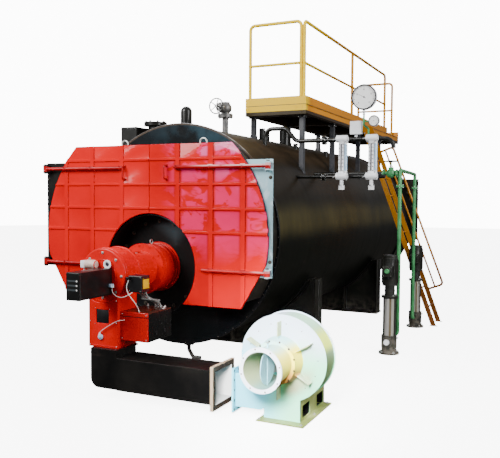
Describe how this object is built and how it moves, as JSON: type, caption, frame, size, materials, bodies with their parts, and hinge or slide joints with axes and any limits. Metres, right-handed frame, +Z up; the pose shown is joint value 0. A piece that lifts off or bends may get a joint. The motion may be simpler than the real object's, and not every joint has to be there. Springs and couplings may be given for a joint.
{
  "type": "industrial fire-tube steam boiler",
  "caption": "Horizontal fire-tube steam boiler with hinged smokebox doors, burner, air duct and fan, service platform with ladder, gauges, feed line and pumps.",
  "frame": {"origin": "on the floor under the middle of the front saddle's base plate, below the drum's axis", "axes": "+Z up, +Y from the front doors towards the back of the drum, +X to the right seen from the front"},
  "size_m": [3.681, 8.38, 4.111],
  "materials": {
    "burner_black": "black plastic",
    "conduit_grey": "grey conduit",
    "deck_steel": "dark chequer plate",
    "door_red": "gloss red paint",
    "drum_black": "semi-gloss black paint",
    "fan_mint": "pale mint paint",
    "feed_green": "green paint",
    "frame_brown": "brown primer with rust",
    "front_grey": "gloss blue-grey paint",
    "gauge_white": "white enamel",
    "motor_black": "black paint",
    "platform_orange": "orange paint",
    "pump_black": "black cast iron",
    "rail_yellow": "yellow paint",
    "steel": "bare steel",
    "valve_grey": "dark cast iron"
  },
  "bodies": {
    "boiler": {"actuator": "burner_black", "air_duct": "drum_black", "air_inlet_box": "door_red", "burner_front_drum": "door_red", "burner_leads": "conduit_grey", "burner_neck": "door_red", "burner_plate": "drum_black", "burner_rear_drum": "door_red", "burner_throat": "drum_black", "control_box": "door_red", "drain_pipe": "drum_black", "duct_frame": "frame_brown", "end_rails": "rail_yellow", "fan_base": "fan_mint", "fan_housing": "fan_mint", "fan_inlet": "fan_mint", "fan_motor": "motor_black", "feed_pipes": "feed_green", "feed_valve": "feed_green", "front_flange": "drum_black", "front_saddle": "drum_black", "front_smokebox": "drum_black", "front_tubesheet": "front_grey", "gauge_headers": "drum_black", "gauge_siphon": "feed_green", "hinge_plate_left": "drum_black", "hinge_plate_right": "front_grey", "instrument_box": "drum_black", "ladder": "platform_orange", "ladder_handrail": "rail_yellow", "level_controller": "gauge_white", "level_gauges": "gauge_white", "lifting_eyes": "steel", "main_valve": "valve_grey", "panel_box": "burner_black", "platform_deck": "deck_steel", "platform_frame": "platform_orange", "pressure_gauges": "gauge_white", "pump_feet": "pump_black", "pump_motors": "motor_black", "pump_sleeves": "steel", "rail_side": "rail_yellow", "rear_cover": "drum_black", "rear_flange": "drum_black", "rear_saddle": "drum_black", "rear_smokebox": "drum_black", "rear_tubesheet": "drum_black", "shell": "drum_black", "supports": "drum_black", "toe_boards": "platform_orange", "top_nozzles": "drum_black"},
    "left_door": {"door_left": "door_red", "door_bars_left": "door_red", "door_handle_left": "door_red"},
    "right_door": {"door_right": "door_red", "door_bars_right": "door_red", "door_handle_right": "door_red"},
    "main_wheel": {"main_valve_wheel": "motor_black"},
    "feed_wheel": {"feed_valve_wheel": "motor_black"},
    "damper": {"inlet_damper": "steel"}
  },
  "joints": [
    {"name": "left_door_hinge", "type": "hinge", "parent": "boiler", "child": "left_door", "pos_m": [-1.375, -2.08, 1.69], "axis": [0, 0, -1], "range_deg": [0, 110]},
    {"name": "right_door_hinge", "type": "hinge", "parent": "boiler", "child": "right_door", "pos_m": [1.375, -2.08, 1.69], "axis": [0, 0, 1], "range_deg": [0, 95]},
    {"name": "main_valve_turn", "type": "hinge", "parent": "boiler", "child": "main_wheel", "pos_m": [0.07, -0.695, 3.025], "axis": [0, -1, 0], "continuous": true},
    {"name": "feed_valve_turn", "type": "hinge", "parent": "boiler", "child": "feed_wheel", "pos_m": [1.985, 0.355, 2.372], "axis": [0, 0, 1], "continuous": true},
    {"name": "inlet_damper_turn", "type": "hinge", "parent": "boiler", "child": "damper", "pos_m": [1.812, -3.055, 0.535], "axis": [0, 0, 1], "range_deg": [0, 90]}
  ]
}
